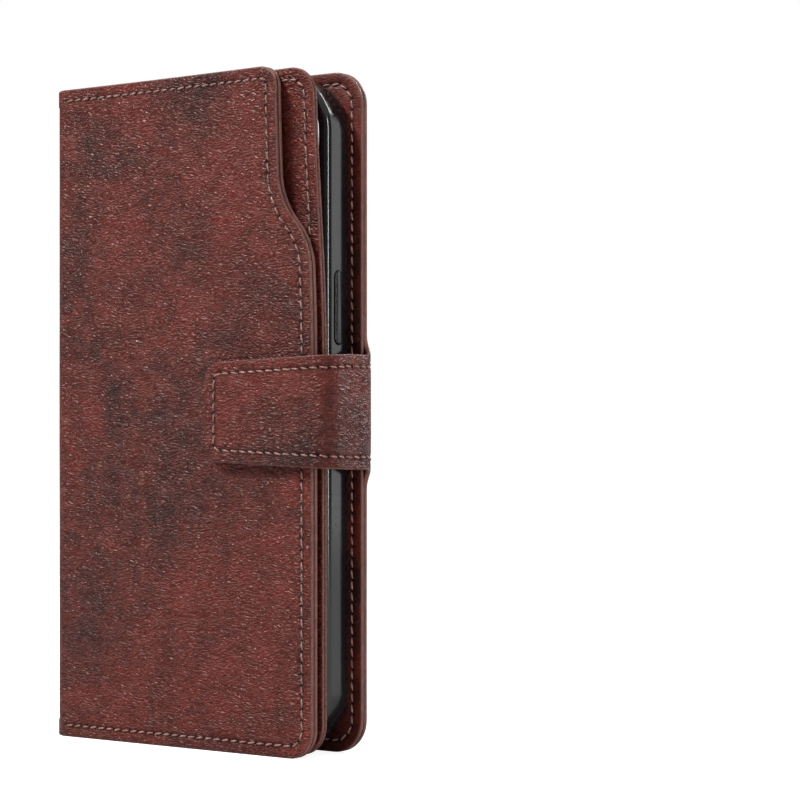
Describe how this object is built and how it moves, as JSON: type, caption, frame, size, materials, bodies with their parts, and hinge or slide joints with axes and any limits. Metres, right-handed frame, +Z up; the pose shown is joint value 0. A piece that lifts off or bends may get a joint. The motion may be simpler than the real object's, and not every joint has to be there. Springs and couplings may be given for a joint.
{
  "type": "phone wallet case",
  "caption": "Folio wallet case for a phone: leather cover, middle page with card slots, moulded shell in the back panel, camera window and a magnetic strap.",
  "frame": {"origin": "centre of the closed case's bounding box, on the surface that its lower edge stands on", "axes": "+Z up the case's height, +X towards the opening side with the strap, -X the spine, -Y out of the front cover, +Y out of the back panel"},
  "size_m": [0.0908, 0.021, 0.168],
  "materials": {
    "outer_leather": "waxed, wrinkled grain",
    "lining_leather": "fine grain, satin",
    "thread": "waxed thread",
    "board": "raw board",
    "steel": "brushed",
    "magnet": "plated",
    "shell_plastic": "gloss"
  },
  "bodies": {
    "back": {"back_skin": "outer_leather", "back_seam_thread": "thread", "back_board": "board", "stand_board": "board", "back_lining": "lining_leather", "phone_shell": "shell_plastic"},
    "spine": {"spine_skin": "outer_leather", "spine_stiffener": "board", "spine_lining": "lining_leather", "page_binding": "lining_leather"},
    "cover": {"cover_skin": "outer_leather", "cover_seam_thread": "thread", "cover_board": "board", "cover_magnet_plate": "steel", "cover_lining": "lining_leather", "cover_card_slot_1": "lining_leather", "cover_card_slot_2": "lining_leather", "cover_card_slot_3": "lining_leather"},
    "page": {"page_front_skin": "outer_leather", "page_back_skin": "lining_leather", "page_stiffener": "board", "page_seam_thread": "thread", "page_front_card_slot_1": "lining_leather", "page_front_card_slot_2": "lining_leather", "page_front_card_slot_3": "lining_leather", "page_back_card_slot_1": "lining_leather", "page_back_card_slot_2": "lining_leather", "page_back_card_slot_3": "lining_leather"},
    "strap_side": {"strap_side_skin": "outer_leather", "strap_side_lining": "lining_leather"},
    "strap_tip": {"strap_tip_skin": "outer_leather", "strap_tip_lining": "lining_leather", "strap_magnet": "magnet", "strap_seam_thread": "thread"},
    "power_button": {"power_key": "shell_plastic"},
    "volume_up_button": {"volume_up_key": "shell_plastic"},
    "volume_down_button": {"volume_down_key": "shell_plastic"}
  },
  "joints": [
    {"name": "spine_hinge", "type": "hinge", "parent": "back", "child": "spine", "pos_m": [-0.04537, 0.0105, 0.084], "axis": [0, 0, -1], "range_deg": [0, 175]},
    {"name": "cover_hinge", "type": "hinge", "parent": "spine", "child": "cover", "pos_m": [-0.04537, -0.0085, 0.084], "axis": [0, 0, -1], "range_deg": [0, 175]},
    {"name": "page_turn", "type": "hinge", "parent": "spine", "child": "page", "pos_m": [-0.04138, -0.00356, 0.084], "axis": [0, 0, -1], "range_deg": [0, 90]},
    {"name": "strap_swing", "type": "hinge", "parent": "back", "child": "strap_side", "pos_m": [0.044, 0.00912, 0.084], "axis": [0, 0, 1], "range_deg": [0, 90], "deforming": ["strap_side_skin", "strap_side_lining"]},
    {"name": "strap_unfold", "type": "hinge", "parent": "strap_side", "child": "strap_tip", "pos_m": [0.044, -0.00912, 0.084], "axis": [0, 0, 1], "range_deg": [0, 90], "deforming": ["strap_tip_skin", "strap_tip_lining", "strap_magnet", "strap_seam_thread"]},
    {"name": "power_press", "type": "slide", "parent": "back", "child": "power_button", "axis": [-1, 0, 0], "range_m": [0, 0.0004], "stiffness_N_per_m": 1500},
    {"name": "volume_up_press", "type": "slide", "parent": "back", "child": "volume_up_button", "axis": [1, 0, 0], "range_m": [0, 0.0004], "stiffness_N_per_m": 1500},
    {"name": "volume_down_press", "type": "slide", "parent": "back", "child": "volume_down_button", "axis": [1, 0, 0], "range_m": [0, 0.0004], "stiffness_N_per_m": 1500}
  ],
  "couplings": [
    {"joint": "page_turn", "follows": "cover_hinge", "ratio": 0.5}
  ]
}
